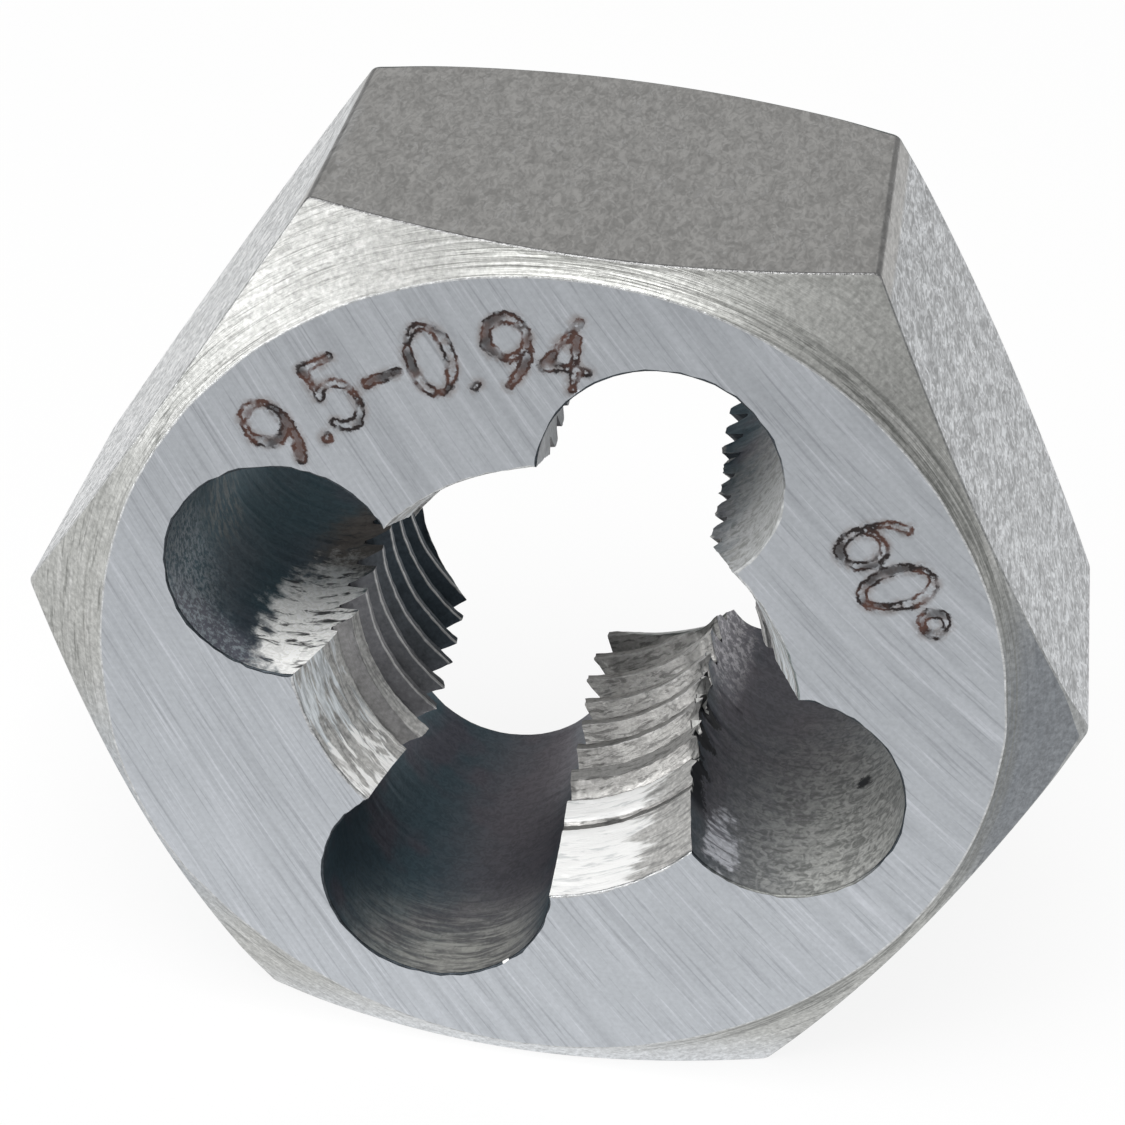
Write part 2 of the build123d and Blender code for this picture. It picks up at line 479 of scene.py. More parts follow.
# How much the worms are drawn out, from the left flat to the others
DRAWN_OUT = (0.85, 0.45)
DRAWN_OUT_FROM = (-6.5, -5.5)
tree, shader, place, _, _ = new_steel("flat", 0.5)
parts = split(tree, place)
along = product(tree, parts[2], fade(tree, parts[0], *DRAWN_OUT_FROM, *DRAWN_OUT))
drawn = join(tree, parts[0], parts[1], along)
colour, masks = add_spots(tree, place, FLAT_GREY, FLAT_SPOTS)
worm = wormy(tree, drawn, 0.30, 0.15)
fine_worm = wormy(tree, drawn, 0.15, 0.19)
lines = product(tree, worm["Lines"], calculate(tree, "MULTIPLY_ADD", masks["top"], -0.35, 0.55))
colour = blend(tree, lines, colour, FLAT_LINE)
mottled = product(tree, cloudy(tree, place, 0.7, 0.12), worm["Tone"])
mottled = product(tree, mottled, product(tree, fine_worm["Tone"], cloudy(tree, drawn, 0.08, 0.13)))
strength = calculate(tree, "MULTIPLY_ADD", masks["top"], -0.70, 1.3)
strength = calculate(tree, "MULTIPLY_ADD", masks["left"], 0.5, strength)
colour = shade(tree, colour, calculate(tree, "POWER", mottled, strength))
finish_steel(tree, shader, colour, calculate(tree, "ADD", worm["Tone"], fine_worm["Tone"]), 0.006)

# Every long edge is broken by hand and shines a little more than what it joins
EDGE_GREY = (0.56, 0.57, 0.575, 1)
LEFT_SHOULDER_GREY = (0.52, 0.53, 0.53, 1)
SHOULDER_GREY = (0.36, 0.37, 0.37, 1)
TOP_SHOULDER_GREY = (0.31, 0.31, 0.31, 1)
BACK_EDGE_DARK = (0.15, 0.185, 0.185, 1)
HEEL_EDGE_SPOT = ((5.15, -1.0, 0.0), (0.45, 1.1, 0.5))
# Where each kind of edge begins, in mm across, down, from the axis or in from the face
SHOULDERS_FROM_RADIUS = (9.76, 9.86)
RIGHT_SHOULDERS_FROM = (-1.0, 1.0)
TOP_SHOULDER_ABOVE = (-9.6, -9.8)
BACK_EDGES_FROM = (8.0, 8.4)
BACK_EDGES_FROM_RADIUS = (6.5, 7.5)
tree, shader, place, radius, depth = new_steel("edge", 0.42)
speckle = cloudy(tree, place, 0.14, 0.8)
parts = split(tree, place)
on_right = fade(tree, parts[0], *RIGHT_SHOULDERS_FROM)
shoulder = blend(tree, on_right, LEFT_SHOULDER_GREY, SHOULDER_GREY)
shoulder = blend(tree, fade(tree, parts[1], *TOP_SHOULDER_ABOVE), shoulder, TOP_SHOULDER_GREY)
colour = blend(tree, fade(tree, radius, *SHOULDERS_FROM_RADIUS), EDGE_GREY, shoulder)
outer_back = fade(tree, depth, *BACK_EDGES_FROM, 0.0, 0.8)
outer_back = product(tree, outer_back, fade(tree, radius, *BACK_EDGES_FROM_RADIUS))
colour = blend(tree, outer_back, colour, BACK_EDGE_DARK)
colour, _ = add_spot(tree, place, colour, BACK_EDGE_DARK, HEEL_EDGE_SPOT, 0.1, 0.3, 0.8)
finish_steel(tree, shader, shade(tree, colour, speckle), speckle, 0.02)

# The bore: four drilled flutes break into a tapped hole and leave four lands, each
# relieved behind its cutting edge. Worn tooling has torn the crests and left burrs.
FLUTE_RADIUS = 2.5
FLUTES = [(5.67, 19.4), (5.75, 109.9), (5.97, 198.5), (5.63, 290.2)]
# How far each drilled flute has wandered at the back face: outwards, and round the bore
FLUTE_WANDER = [(0.10, -1.5), (-0.28, -1.7), (0.0, 0.0), (0.0, 0.0)]
PITCH = 25.4 / 27
MAJOR_RADIUS = 4.7625
ROOT_FLAT = 0.118
CREST_FLAT = 0.20
FLANK_LEAN = math.tan(math.radians(30))
THREAD_DEPTH = (PITCH - ROOT_FLAT - CREST_FLAT) / (2 * FLANK_LEAN)
MINOR_RADIUS = MAJOR_RADIUS - THREAD_DEPTH
THREAD_START = 0.70
FRONT_MOUTH_RADII = [5.22, 5.22, 5.12, 5.22]
FRONT_LEAD_LENGTHS = [3.8, 2.5, 2.5, 2.5]
BACK_MOUTH_RADII = [4.655, 4.68, 5.17, 4.45]
BACK_MOUTH_MOST = [4.945, 6.0, 6.0, 6.0]
BACK_LEAD_SLOPE = 0.45
# The lead-out was cut off centre: deeper at each land's cutting edge than at its heel
BACK_LEAD_OFFSETS = [0.0215, 0.018, 0.020, 0.020]
LAND_RELIEF = 0.55
RIM_ROUNDING = 0.045
RIM_RAGGED = 0.9
# How far each land's thread sits from the true helix, land by land, clockwise
THREAD_DRIFT = [0.31, -0.22, -0.37, 0.22]
# How much longer than it should be the pitch came out, and where on each land the cut starts
THREAD_STRETCH = [0.05, 0.0, 0.0, 0.0]
STRETCH_FROM = 6.0
THREAD_FROM = [1.4, 0.0, 0.0, 0.0]
# How far each land's crests are worn down, and the last land's further, in a long taper
CREST_WEAR = [0.0, 0.0, 0.14, 0.11]
WORN_LAND = 3
WORN_SLOPE = 0.085
WORN_LENGTH = 7.8
WORN_MOST = 0.28
WORN_START = 0.55
WORN_FADE = 0.2
# How far burrs hang over each land's cutting edge
LAND_BURRS = [0.42, 0.07, 0.10, 0.10]
# How far they hang over the other edge, where the tap was backed out
HEEL_BURRS = [0.22, 0.0, 0.0, 0.0]
# Over how much of the land's width each kind dies away
BURR_WIDTH = 0.035
HEEL_BURR_WIDTH = 0.05
# At which depths each kind begins and ends
BURR_START, BURR_END = 1.5, 6.8
HEEL_BURR_START, HEEL_BURR_END = 4.8, 9.0
# How far the walls waver from their ideal form, in mm, in long waves and in short ones
LAND_WEAR, LAND_FINE_WEAR = 0.014, 0.016
LAND_WAVER, LAND_FINE_WAVER = 0.030, 0.020
FLUTE_WEAR, FLUTE_FINE_WEAR = 0.012, 0.016
# The lands' waver grows to its full size over this depth from each face
CLEAR_DEPTH = 0.6
# A row that comes this near to a rim is joined to it
MERGE_REACH = 0.004
LAND_SHADES = [1.0, 0.45, 0.5, 0.45]
LUMP_FLUTE = 0
LUMP_SHARE = 0.90
LUMP_WIDTH = 0.045
LUMP_HEIGHT = 0.26
LUMP_LENGTH = 1.6
LAND_COLUMNS = 34
FLUTE_COLUMNS = 56
# How much closer the columns stand near the edges of the lands
LAND_CROWDING = 0.11
FLUTE_CROWDING = 0.06
# How far round the bore each flute is taken to reach, in degrees
FLUTE_SPAN = 48

root_half = ROOT_FLAT / 2
flank_width = THREAD_DEPTH * FLANK_LEAN
quarter = [0, root_half, root_half + flank_width * 0.35, root_half + flank_width * 0.7]
quarter += [root_half + flank_width + aside for aside in (-0.025, 0, 0.03)]
PITCH_NODES = quarter + [PITCH / 2] + [PITCH - q for q in quarter[:0:-1]]
NODES = len(PITCH_NODES)
Column = namedtuple("Column", "kind number step share degrees drift stretch")


def clamp(value, least=0, most=1):
    return min(max(value, least), most)


def flute_axis(flute, depth):
    """Where a flute's middle lies at a depth."""
    (distance, angle), (out, round_bore) = FLUTES[flute % 4], FLUTE_WANDER[flute % 4]
    distance += out * depth / THICKNESS
    turn = math.radians(angle + round_bore * depth / THICKNESS)
    return distance * math.cos(turn), distance * math.sin(turn)


def land_middle(land):
    first = FLUTES[land][1]
    last = FLUTES[(land + 1) % 4][1]
    return (first + (last if last > first else last + 360)) / 2


def land_axis(land):
    """A land's own middle, moved so that the land falls away behind its cutting edge."""
    turn = math.radians(land_middle(land))
    return -LAND_RELIEF * math.sin(turn), LAND_RELIEF * math.cos(turn)


def turn_share(depth, column):
    """Where a point lies within its turn of the thread, from one root to the next."""
    true_depth = (depth + column.stretch * STRETCH_FROM) / (1 + column.stretch)
    return ((true_depth - THREAD_START - column.drift) / PITCH - column.degrees / 360) % 1


def thread_radius(depth, column):
    """How wide the thread is cut at a point of a land, from its root to its crest."""
    if depth < THREAD_FROM[column.number]:
        return MINOR_RADIUS
    place = turn_share(depth, column) * PITCH
    from_root = min(place, PITCH - place)
    return MAJOR_RADIUS - clamp((from_root - root_half) / FLANK_LEAN, 0, THREAD_DEPTH)


def lead_radius(depth, column):
    """How wide the two cones and the wear leave the hole at a point of a land."""
    land = column.number
    front_slope = (FRONT_MOUTH_RADII[land] - MINOR_RADIUS) / FRONT_LEAD_LENGTHS[land]
    lead_in = FRONT_MOUTH_RADII[land] - depth * front_slope
    aside = (column.degrees - land_middle(land) + 180) % 360 - 180
    back_mouth = BACK_MOUTH_RADII[land] - BACK_LEAD_OFFSETS[land] * aside
    lead_out = min(back_mouth, BACK_MOUTH_MOST[land]) - (THICKNESS - depth) * BACK_LEAD_SLOPE
    worn = CREST_WEAR[land]
    if land == WORN_LAND:
        worn = max(worn, min(WORN_SLOPE * (WORN_LENGTH - depth), WORN_MOST))
        worn *= 1 - clamp((column.share - WORN_START) / WORN_FADE)
    return max(lead_in, lead_out, MINOR_RADIUS + worn)


def meeting_point(land, radius, flute, depth):
    """Where a land's circle meets a flute's circle, on the side of that land."""
    cx, cy = land_axis(land)
    fx, fy = flute_axis(flute, depth)
    dx, dy = fx - cx, fy - cy
    distance = math.hypot(dx, dy)
    along = (distance**2 + radius**2 - FLUTE_RADIUS**2) / (2 * distance)
    aside = math.sqrt(max(radius**2 - along**2, 0))
    sign = 1 if flute == land else -1
    x = cx + (along * dx - sign * aside * dy) / distance
    y = cy + (along * dy + sign * aside * dx) / distance
    return x, y


def burr(land, share, depth, radius):
    """How far a torn crest hangs over the flute at a land's cutting edge, or at its heel."""
    near_edge = LAND_BURRS[land] * math.exp(-share / BURR_WIDTH)
    near_heel = HEEL_BURRS[land] * math.exp((share - 1) / HEEL_BURR_WIDTH)
    below_face = clamp((depth - BURR_START) / 0.7)
    on_crest = clamp(((MAJOR_RADIUS - radius) / THREAD_DEPTH - 0.45) / 0.4)
    flake = 0.5 * on_crest + rough((depth, land * 3, 0), 0.21)
    flake = max(0, flake + 0.5 * rough((depth, land * 5, 2), 0.09))
    before_back = clamp(BURR_END - depth)
    far_back = clamp((depth - HEEL_BURR_START) / 2.5)
    far_back = min(far_back, max((HEEL_BURR_END - depth) / 0.3, 0.4))
    torn = near_edge * flake * below_face * before_back
    return torn, near_heel * (on_crest + 0.3 * flake) * far_back


def land_point(column, depth):
    """A point of the threaded surface, with its wear and torn edges."""
    land = column.number
    radius = max(thread_radius(depth, column), lead_radius(depth, column))
    cx, cy = land_axis(land)
    ends = [meeting_point(land, radius, flute, depth) for flute in (land, land + 1)]
    turns = [math.atan2(y - cy, x - cx) for x, y in ends]
    if turns[1] < turns[0]:
        turns[1] += 2 * math.pi
    turn = turns[0] + (turns[1] - turns[0]) * column.share
    torn, heel_torn = burr(land, column.share, depth, radius)
    turn += (heel_torn - torn) / radius
    worn = radius + LAND_WEAR * rough((column.degrees / 12, radius, depth), 0.35, land)
    worn += LAND_FINE_WEAR * rough((column.degrees / 4, radius * 2, depth * 5), 0.5, land + 9)
    clear = min(1, depth / CLEAR_DEPTH, (THICKNESS - depth) / CLEAR_DEPTH)
    waver = LAND_WAVER * rough((column.degrees / 9, depth, land), 0.8, 2)
    waver += LAND_FINE_WAVER * rough((column.degrees / 3, depth, land), 0.7, 5)
    waver *= clear
    deep = depth + waver - 0.6 * torn * clear
    return cx + worn * math.cos(turn), cy + worn * math.sin(turn), deep


def back_lump(column, depth):
    """How far the ragged lump at the back of the first flute stands into the hole."""
    if column.number % 4 != LUMP_FLUTE:
        return 0
    beside = math.exp(-(((column.share - LUMP_SHARE) / LUMP_WIDTH) ** 2))
    behind = clamp((depth - THICKNESS + LUMP_LENGTH) / LUMP_LENGTH) ** 2
    return LUMP_HEIGHT * beside * behind * (1 + 0.25 * rough((column.share * 9, depth, 0), 0.5, 3))


def flute_point(column, start, end, depth):
    """A point of a flute's wall between the edges of the two lands beside it."""
    fx, fy = flute_axis(column.number, depth)
    first = math.atan2(start[1] - fy, start[0] - fx)
    last = math.atan2(end[1] - fy, end[0] - fx)
    if last < first:
        last += 2 * math.pi
    turn = first + (last - first) * column.share
    reach = FLUTE_RADIUS - back_lump(column, depth)
    x, y = fx + reach * math.cos(turn), fy + reach * math.sin(turn)
    worn = FLUTE_WEAR * rough((turn * 1.2, column.number * 7, depth * 3), 0.5)
    worn += FLUTE_FINE_WEAR * rough((turn * 2.5, column.number * 7, depth * 0.3), 0.25)
    return x + worn * math.cos(turn), y + worn * math.sin(turn), depth


def across_flute(values, land, share):
    """A value that changes from one land to the next across the flute between them."""
    return values[land] + (values[(land + 1) % 4] - values[land]) * share


# Every column runs through the die from face to face, and the rows climb with the thread.
# The columns stand closer together near the edges of the lands.
columns = []
for land in range(4):
    first = FLUTES[land][1] + FLUTE_SPAN // 2
    last = (FLUTES[(land + 1) % 4][1] - FLUTE_SPAN // 2 - first) % 360 + first
    for step, t in enumerate(spread(0, 1, LAND_COLUMNS)):
        share = t - LAND_CROWDING * math.sin(2 * math.pi * t)
        degrees = first + (last - first) * share
        drift, longer = THREAD_DRIFT[land], THREAD_STRETCH[land]
        columns.append(Column("land", land, step, share, degrees, drift, longer))
    for step, t in enumerate(spread(0, 1, FLUTE_COLUMNS + 2)[1:-1], 1):
        share = t - FLUTE_CROWDING * math.sin(2 * math.pi * t)
        degrees = last + FLUTE_SPAN * share
        drift, longer = (across_flute(of, land, share) for of in (THREAD_DRIFT, THREAD_STRETCH))
        columns.append(Column("flute", land + 1, step, share, degrees, drift, longer))
COUNT = len(columns)
TURNS = range(-3, int(THICKNESS / PITCH) + 3)
ROWS = [turn * PITCH + node for turn in TURNS for node in PITCH_NODES]
front_rim, back_rim = RIM_ROUNDING, THICKNESS - RIM_ROUNDING


def row_depth(row, column, turns=0):
    """How deep a row lies in a column, climbing with the thread and its stretched pitch."""
    true_depth = ROWS[row] + THREAD_START + column.drift + PITCH * (column.degrees / 360 + turns)
    return true_depth + column.stretch * (true_depth - STRETCH_FROM)


def column_points(depth_of):
    """One point for each column at the depth that depth_of(column, turns) gives."""
    places = [None] * COUNT
    for n, column in enumerate(columns):
        if column.kind == "land":
            places[n] = land_point(column, depth_of(column, 0))
    # Past the last column the thread has climbed a turn
    places.append(land_point(columns[0], depth_of(columns[0], 1)))
    for n, column in enumerate(columns):
        if column.kind == "flute":
            before = n - column.step
            end = places[before + FLUTE_COLUMNS + 1]
            places[n] = flute_point(column, places[before], end, depth_of(column, 0))
    return places[:COUNT]


# What the steel is told about each point, with its value where nothing else is noted
UNNOTED = {"mark_distance": 1.0, "lead_in": 0.0, "crest": 0.0, "turn_share": 0.0}
UNNOTED |= {"shade": 1.0, "flake": 0.0, "edge": 0.0}
traits = {name: {} for name in UNNOTED}
# Nearness to the lowest land's cutting edge is noted from this share of the flute's wall on, for
# the painted shadow behind its burrs
EDGE_FROM = 0.75
LEAD_REACH = 0.3
FLAKE_REACH = 0.15


def note_traits(number, column, depth):
    """Keeps what the steel needs to know about a point: its cone, crest, shade and burr."""
    if column.number % 4 == 0:
        in_flute = max(column.share - EDGE_FROM, 0) / (1 - EDGE_FROM)
        traits["edge"][number] = in_flute if column.kind == "flute" else 1 - column.share
    if column.kind == "land":
        threaded, lead = thread_radius(depth, column), lead_radius(depth, column)
        traits["lead_in"][number] = clamp(lead - threaded, -LEAD_REACH, LEAD_REACH)
        traits["crest"][number] = (MAJOR_RADIUS - max(threaded, lead)) / THREAD_DEPTH
        traits["turn_share"][number] = turn_share(depth, column)
        torn = burr(column.number, column.share, depth, max(threaded, lead))[0]
        traits["flake"][number] = min(torn / FLAKE_REACH, 1)
        traits["shade"][number] = LAND_SHADES[column.number]


front_loop = add_points(column_points(lambda column, turns: front_rim))
back_loop = add_points(column_points(lambda column, turns: back_rim))
for column, front, back in zip(columns, front_loop, back_loop):
    note_traits(front, column, front_rim)
    note_traits(back, column, back_rim)
corner_at = []
for row in range(len(ROWS)):
    places = column_points(
        lambda column, turns: clamp(row_depth(row, column, turns), front_rim, back_rim)
    )
    numbers = []
    for n, place in enumerate(places):
        depth = row_depth(row, columns[n])
        if depth < front_rim + MERGE_REACH:
            numbers.append(front_loop[n])
        elif depth > back_rim - MERGE_REACH:
            numbers.append(back_loop[n])
        else:
            numbers += add_points([place])
            note_traits(numbers[-1], columns[n], depth)
    corner_at.append(numbers)


def corner(row, column):
    """The corner on a row and column; past the last column the row has climbed a pitch."""
    if column == COUNT:
        row, column = row + NODES, 0
    if row >= len(ROWS):
        return back_loop[column]
    return corner_at[row][column]


for row in range(len(ROWS) - 1):
    for n in range(COUNT):
        on_land = columns[n].kind == "land" and columns[(n + 1) % COUNT].kind == "land"
        quad = [corner(row, n), corner(row, n + 1), corner(row + 1, n + 1), corner(row + 1, n)]
        add_face(quad, LAND if on_land else FLUTE)


def away_from_hole(loop, depth):
    """For each column of a rim, the direction that leads from the hole into the metal."""
    directions = []
    for column, number in zip(columns, loop):
        place = points[number].to_2d()
        land, flute = column.kind == "land", column.kind == "flute"
        centres = [flute_axis(column.number, depth) if flute else land_axis(column.number)]
        if land and column.step in (0, LAND_COLUMNS - 1):
            centres.append(flute_axis(column.number + (column.step > 0), depth))
        total = sum(((place - Vector(centre)).normalized() for centre in centres), Vector((0, 0)))
        directions.append(total.normalized())
    return directions


def round_rim(loop, face_depth, sign):
    """Rounds the edge between the bore and a face; gives the loop that lies on the face."""
    directions = away_from_hole(loop, face_depth)
    last = loop
    for turn in (30, 60, 90):
        out = RIM_ROUNDING * (1 - math.cos(math.radians(turn)))
        rise = RIM_ROUNDING * (1 - math.sin(math.radians(turn)))
        places = []
        for number, direction in zip(loop, directions):
            x, y, _ = points[number]
            ragged = out * (1 + RIM_RAGGED * rough((x, y, 0), 0.22, 4))
            x, y = x + direction.x * ragged, y + direction.y * ragged
            places.append((x, y, face_depth + sign * rise))
        following = add_points(places)
        for n in range(COUNT):
            m = (n + 1) % COUNT
            on_land = columns[n].kind == "land" and columns[m].kind == "land"
            add_face([last[n], last[m], following[m], following[n]], EDGE if on_land else RIM)
        last = following
    return last


front_bore_edge = round_rim(front_loop, 0, 1)
back_bore_edge = round_rim(back_loop, THICKNESS, -1)

# Streaks across a hole's wall, one above the other, such as a drill or a tap leaves
streaks, starts, ends = new_group(
    "streaks", {"Place": (0, 0, 0), "Spacing": 0.1, "Length": 1.0}, {"Streaks": "Float"}
)
tree = streaks
parts = split(tree, starts["Place"])
along = [calculate(tree, "DIVIDE", parts[n], starts["Length"]) for n in (0, 1)]
streak_place = skewed(tree, *along, calculate(tree, "DIVIDE", parts[2], starts["Spacing"]))
tree.links.new(grain(tree, streak_place, 1.0, 3.0, 0.62, 0.5), ends["Streaks"])


def streaked(tree, place, spacing, length):
    return use_group(tree, streaks, Place=place, Spacing=spacing, Length=length)["Streaks"]


# The flutes: dark scale from hardening, blue-green, with drill rings and torn bright spots
SCALE_BLUE = (0.085, 0.135, 0.165, 1)
SCALE_TEAL = (0.055, 0.105, 0.130, 1)
SCALE_PURPLE = (0.120, 0.125, 0.155, 1)
PURPLE_GREY = (0.230, 0.215, 0.240, 1)
BLUE_GREY = (0.30, 0.34, 0.37, 1)
HAZE_GREY = (0.41, 0.45, 0.48, 1)
BROWN_GREY = (0.145, 0.125, 0.11, 1)
WALL_GREY = (0.60, 0.615, 0.635, 1)
RING_DARK = (0.15, 0.15, 0.15, 1)
RING_GREY = (0.385, 0.385, 0.36, 1)
SPECKLE_DARK = (0.24, 0.245, 0.235, 1)
SPECKLE_LIGHT = (0.54, 0.545, 0.525, 1)
SCOURED_GREY = (0.37, 0.375, 0.38, 1)
SCOURED_LIGHT = (0.40, 0.41, 0.41, 1)
FLECK_DARK = (0.33, 0.32, 0.36, 1)
FLECK_LIGHT = (0.80, 0.78, 0.82, 1)
PATCH_DARK = (0.17, 0.17, 0.19, 1)
PATCH_GREY = (0.52, 0.53, 0.57, 1)
TORN_DARK = (0.06, 0.06, 0.06, 1)
TORN_LIGHT = (0.95, 0.95, 0.93, 1)
NICK_DARK = (0.03, 0.032, 0.036, 1)
BURR_SHADOW_BLACK = (0.008, 0.009, 0.012, 1)
FLAKE_LIGHT = (0.62, 0.62, 0.60, 1)
CHATTER_SLANT = 0.7
SCOURED_PALER_FROM = (3.5, 4.2)
# The painted shadow behind the burrs: how deep it begins and ends, and how near the land's edge
BURR_SHADOW_FROM, BURR_SHADOW_TO = (1.0, 1.8), (6.2, 4.8)
BURR_SHADOW_BESIDE = (0.76, 0.82)
WALL_SPOT = ((-0.3, -4.4, 2.0), (0.9, 1.3, 4.0))
tree, shader, place, _, depth = new_steel("flute", 0.5)
streak = streaked(tree, place, 0.12, 0.9)
torn = fade(tree, streaked(tree, place, 0.20, 0.55), 0.35, 0.48)
speckle = grain(tree, place, 8.5, 3.0, 0.7)
curls = wormy(tree, place, 0.26, 0.5)["Tone"]
mottled = calculate(tree, "MULTIPLY_ADD", speckle, 0.24, product(tree, curls, 0.18))
mottled = calculate(tree, "MULTIPLY_ADD", streak, 0.43, mottled)
# The left flute carries faint slanted chatter, and the top one is scoured
inputs = {0: place, "Angle": CHATTER_SLANT}
slanted = add_node(tree, "VectorRotate", inputs, rotation_type="X_AXIS").outputs[0]
chatter = grain(tree, stretch(tree, slanted, (2.5, 2.5, 6.0)), 1.0, 3.0, 0.7)
chatter = fade(tree, chatter, 0.42, 0.62)
paler = fade(tree, split(tree, place)[0], *SCOURED_PALER_FROM)
scoured = blend(tree, paler, SCOURED_GREY, SCOURED_LIGHT)
scoured = blend(tree, fade(tree, mottled, 0.38, 0.56), SPECKLE_DARK, scoured)
ringed = blend(tree, fade(tree, streak, 0.36, 0.62), RING_DARK, RING_GREY)
speckled = blend(tree, fade(tree, mottled, 0.36, 0.64), SPECKLE_DARK, SPECKLE_LIGHT)
hazed = blend(tree, fade(tree, speckle, 0.40, 0.60), SCALE_BLUE, HAZE_GREY)
chattered = blend(tree, chatter, SCALE_TEAL, SPECKLE_DARK)
fleck = fade(tree, grain(tree, place, 4.5, 3.0, 0.7), 0.46, 0.60)
flecked = blend(tree, fleck, FLECK_DARK, FLECK_LIGHT)
rough_rim = blend(tree, fade(tree, speckle, 0.44, 0.62), SCALE_PURPLE, BLUE_GREY)
torn_bright = blend(tree, torn, TORN_DARK, TORN_LIGHT)
torn_brown = blend(tree, torn, TORN_DARK, BROWN_GREY)
patch = blend(tree, fade(tree, streak, 0.38, 0.54), PATCH_DARK, PATCH_GREY)
tint = fade(tree, grain(tree, place, 0.6, 2.0), 0.45, 0.62)
colour, masks = add_spots(tree, place, blend(tree, tint, SCALE_BLUE, SCALE_PURPLE), [
    ("left scale", SCALE_TEAL, ((-7.0, -1.3, 5.5), (2.6, 2.6, 6.5)), 0.12, 0.5, 0.9),
    ("bottom tint", PURPLE_GREY, ((-0.5, 7.4, 5.0), (1.5, 1.2, 6.5)), 0.12, 0.7, 0.9),
    ("right tint", PURPLE_GREY, ((5.0, 4.2, 5.5), (2.6, 1.6, 7.5)), 0.12, 0.7, 0.8),
    ("left tint", PURPLE_GREY, ((-7.2, -0.1, 2.9), (0.7, 0.5, 1.8)), 0.12, 0.7, 0.25),
    ("drill rings", ringed, ((-1.1, 7.75, 0.3), (2.5, 1.3, 1.9)), 0.12, 0.8),
    ("speckle", speckled, ((7.1, 3.7, 0.6), (2.6, 2.4, 5.2)), 0.12, 0.7),
    ("haze", hazed, ((-8.3, -1.4, 0.4), (1.2, 2.3, 2.4)), 0.25, 0.6, 0.8),
    ("chatter", chattered, ((-7.95, -1.0, 4.2), (0.6, 1.0, 1.2)), 0.3, 0.5, 0.6),
    ("flecks", flecked, ((3.4, 3.3, 8.6), (0.7, 0.9, 2.3)), 0.2, 0.5),
    ("left rim", rough_rim, ((-7.3, 0.0, 0.2), (1.7, 1.2, 0.95)), 0.3, 0.4),
    ("torn far", torn_brown, ((-4.9, 0.5, 5.4), (0.9, 0.6, 1.8)), 0.3, 0.5, 0.9),
    ("torn", torn_bright, ((-5.2, 0.62, 1.9), (1.15, 0.7, 2.7)), 0.32, 0.25),
    ("pale patch", patch, ((4.05, 4.05, 1.05), (0.42, 0.44, 1.05)), 0.8, 0.3, 0.85),
    ("scoured", scoured, ((4.3, -4.2, 0.8), (1.6, 2.0, 4.9)), 0.25, 0.5),
    ("nick", NICK_DARK, ((7.0, 3.76, 3.86), (0.20, 0.17, 0.22)), 0.9, 0.3),
])
# A painted black shadow lies behind the burrs of the lowest land, where the cutting edge overhangs
# the flute's wall, and flecks of torn steel further in
flake = fade(tree, trait(tree, "flake"), 0.04, 0.22)
uneven = calculate(tree, "SUBTRACT", speckle, 0.5)
ragged_edge = calculate(tree, "MULTIPLY_ADD", uneven, 0.30, trait(tree, "edge"))
burr_shadow = product(tree, fade(tree, depth, *BURR_SHADOW_TO), fade(tree, depth, *BURR_SHADOW_FROM))
burr_shadow = product(tree, fade(tree, ragged_edge, *BURR_SHADOW_BESIDE), burr_shadow)
colour = blend(tree, burr_shadow, colour, BURR_SHADOW_BLACK)
colour = blend(tree, flake, colour, FLAKE_LIGHT)
colour, wall_mask = add_spot(tree, place, colour, WALL_GREY, WALL_SPOT, 0.1, 0.5)
colour = shade(tree, colour, wormy(tree, place, 0.17, 0.12)["Tone"])
bare = largest(tree, wall_mask, flake, burr_shadow, masks["torn"], masks["scoured"], masks["pale patch"])
dull = largest(tree, *(masks[name] for name in ("drill rings", "speckle", "flecks", "left rim")))
dimmed = largest(tree, product(tree, bare, 0.85), product(tree, dull, 0.45))
metallic = calculate(tree, "SUBTRACT", 0.85, dimmed)
height = product(tree, streak, calculate(tree, "MULTIPLY_ADD", masks["drill rings"], 0.7, 0.3))
height = calculate(tree, "ADD", height, product(tree, torn, masks["torn"]))
finish_steel(tree, shader, colour, height, 0.014, metallic)

# The lands: cut by a tap, so bright where the lead-in cone was cut last and painted white as a
# highlight on the lowest land, torn and grey on the flanks, with thin rubbed lines on the crests;
# the dark roots, and the darkening of the other lands' flanks deeper in the bore, are painted shade
LEAD_HIGHLIGHT_WHITE = (0.97, 0.97, 0.96, 1)
LEAD_GREY = (0.72, 0.73, 0.73, 1)
LEAD_BLUE = (0.63, 0.665, 0.69, 1)
LEAD_ROUGH = (0.395, 0.39, 0.378, 1)
TORN_GREY = (0.30, 0.297, 0.288, 1)
BACK_GREEN = (0.17, 0.185, 0.175, 1)
BACK_DARK = (0.055, 0.065, 0.075, 1)
BACK_RIM_HIGHLIGHT = (0.48, 0.49, 0.48, 1)
FLANK_GREY = (0.30, 0.296, 0.287, 1)
ROOT_PAINTED_SHADE = (0.06, 0.06, 0.065, 1)
CREST_LIGHT = (0.58, 0.58, 0.58, 1)
FLANK_SHADE_FRONT = (0.36, 0.355, 0.35, 1)
FLANK_SHADE_MIDDLE = (0.175, 0.175, 0.185, 1)
FLANK_SHADE_DEEP = (0.045, 0.058, 0.070, 1)
